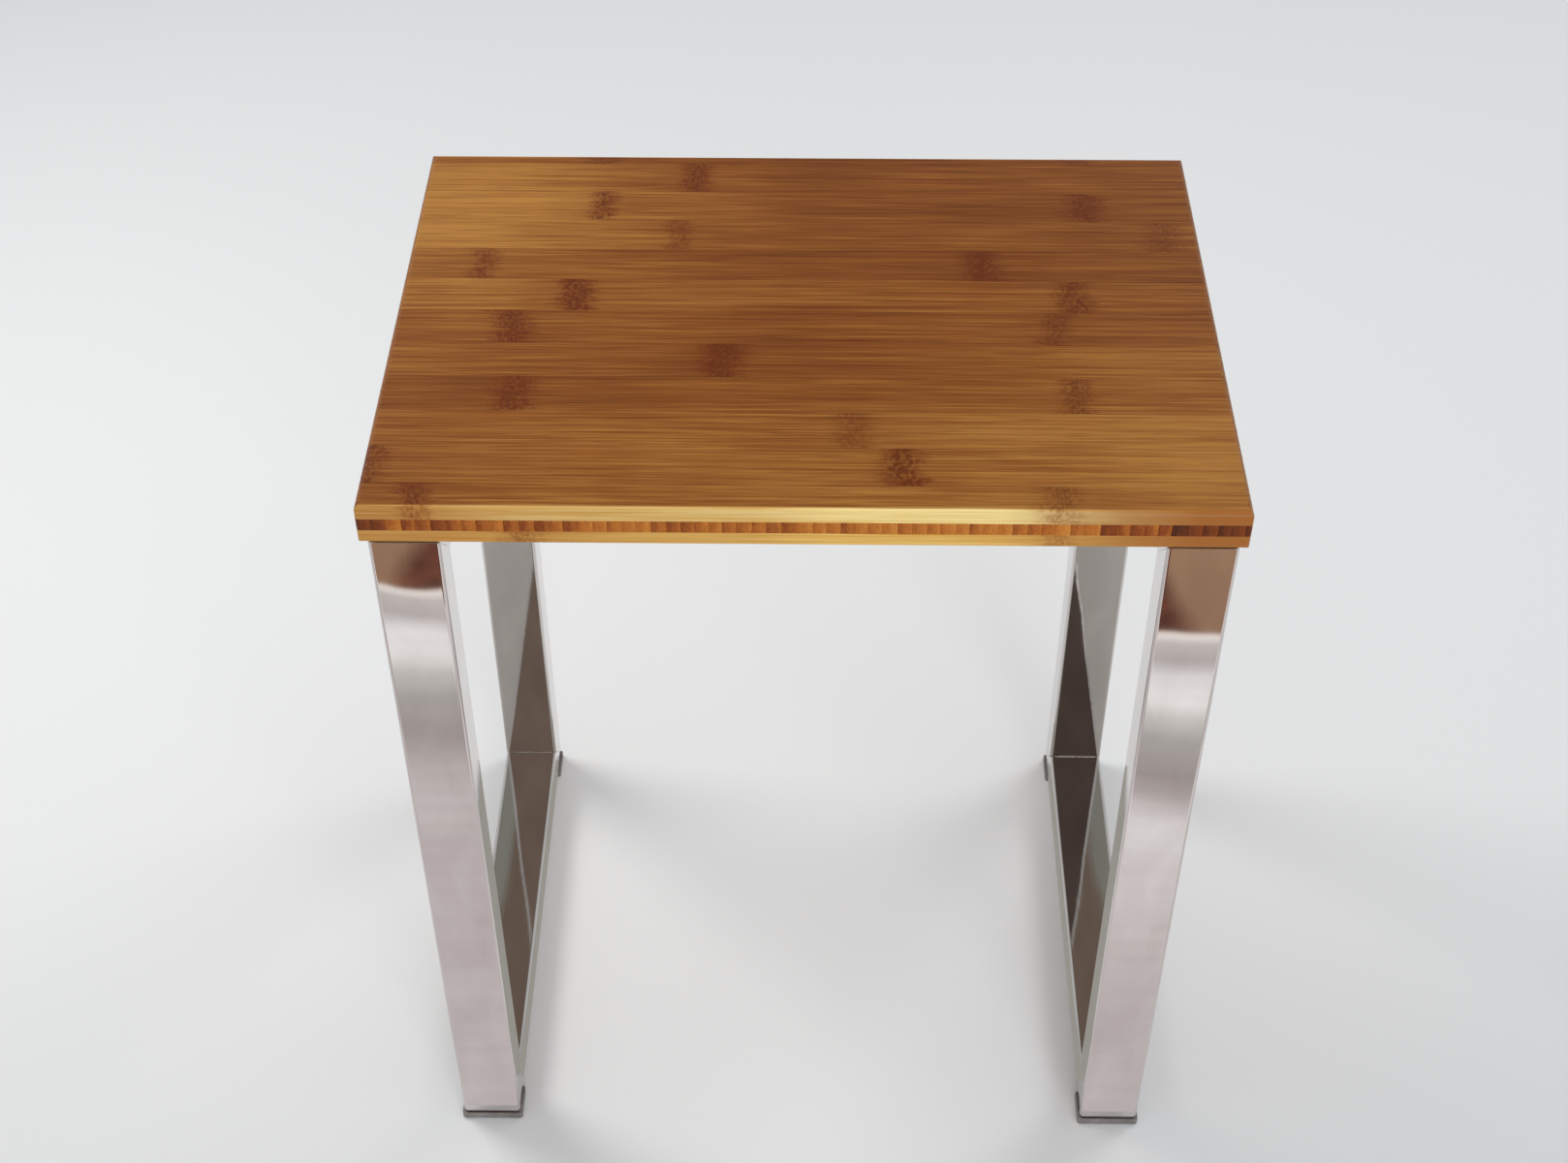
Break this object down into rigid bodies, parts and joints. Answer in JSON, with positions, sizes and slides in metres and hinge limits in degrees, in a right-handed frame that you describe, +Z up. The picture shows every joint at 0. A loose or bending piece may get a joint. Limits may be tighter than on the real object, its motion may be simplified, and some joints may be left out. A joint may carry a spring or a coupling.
{
  "type": "shower stool",
  "caption": "Rectangular shower stool: a laminated bamboo board on two upright loops of polished stainless rectangular tube, with flat foot pads.",
  "frame": {"origin": "on the floor under the middle of the seat", "axes": "+Z up, -Y towards the front edge of the seat, +X to the right along the long side of the seat"},
  "size_m": [0.365, 0.262, 0.435],
  "materials": {
    "bamboo_top": "caramel bamboo strips laid flat, long grain with dark nodes, satin varnish",
    "bamboo_core": "cross-laid bamboo strips, end grain at the front and back edges",
    "bamboo_bottom": "lighter bamboo strips laid flat, satin varnish",
    "polished_stainless": "mirror-polished stainless steel",
    "screw_steel": "bright stainless steel",
    "foot_plastic": "grey moulded plastic",
    "foot_foam": "dark adhesive foam"
  },
  "bodies": {
    "root": {"seat_top_strip_01": "bamboo_top", "seat_top_strip_02": "bamboo_top", "seat_top_strip_03": "bamboo_top", "seat_top_strip_04": "bamboo_top", "seat_top_strip_05": "bamboo_top", "seat_top_strip_06": "bamboo_top", "seat_top_strip_07": "bamboo_top", "seat_top_strip_08": "bamboo_top", "seat_top_strip_09": "bamboo_top", "seat_top_strip_10": "bamboo_top", "seat_top_strip_11": "bamboo_top", "seat_top_strip_12": "bamboo_top", "seat_core_ply": "bamboo_core", "seat_bottom_strip_01": "bamboo_bottom", "seat_bottom_strip_02": "bamboo_bottom", "seat_bottom_strip_03": "bamboo_bottom", "seat_bottom_strip_04": "bamboo_bottom", "seat_bottom_strip_05": "bamboo_bottom", "seat_bottom_strip_06": "bamboo_bottom", "seat_bottom_strip_07": "bamboo_bottom", "seat_bottom_strip_08": "bamboo_bottom", "seat_bottom_strip_09": "bamboo_bottom", "seat_bottom_strip_10": "bamboo_bottom", "seat_bottom_strip_11": "bamboo_bottom", "seat_bottom_strip_12": "bamboo_bottom", "left_front_leg": "polished_stainless", "left_rear_leg": "polished_stainless", "left_bottom_rail": "polished_stainless", "left_top_rail": "polished_stainless", "left_front_seat_screw": "screw_steel", "left_front_screw_washer": "screw_steel", "left_front_foot_pad": "foot_plastic", "left_front_foot_tape": "foot_foam", "left_rear_seat_screw": "screw_steel", "left_rear_screw_washer": "screw_steel", "left_rear_foot_pad": "foot_plastic", "left_rear_foot_tape": "foot_foam", "right_front_leg": "polished_stainless", "right_rear_leg": "polished_stainless", "right_bottom_rail": "polished_stainless", "right_top_rail": "polished_stainless", "right_front_seat_screw": "screw_steel", "right_front_screw_washer": "screw_steel", "right_front_foot_pad": "foot_plastic", "right_front_foot_tape": "foot_foam", "right_rear_seat_screw": "screw_steel", "right_rear_screw_washer": "screw_steel", "right_rear_foot_pad": "foot_plastic", "right_rear_foot_tape": "foot_foam"}
  },
  "joints": []
}
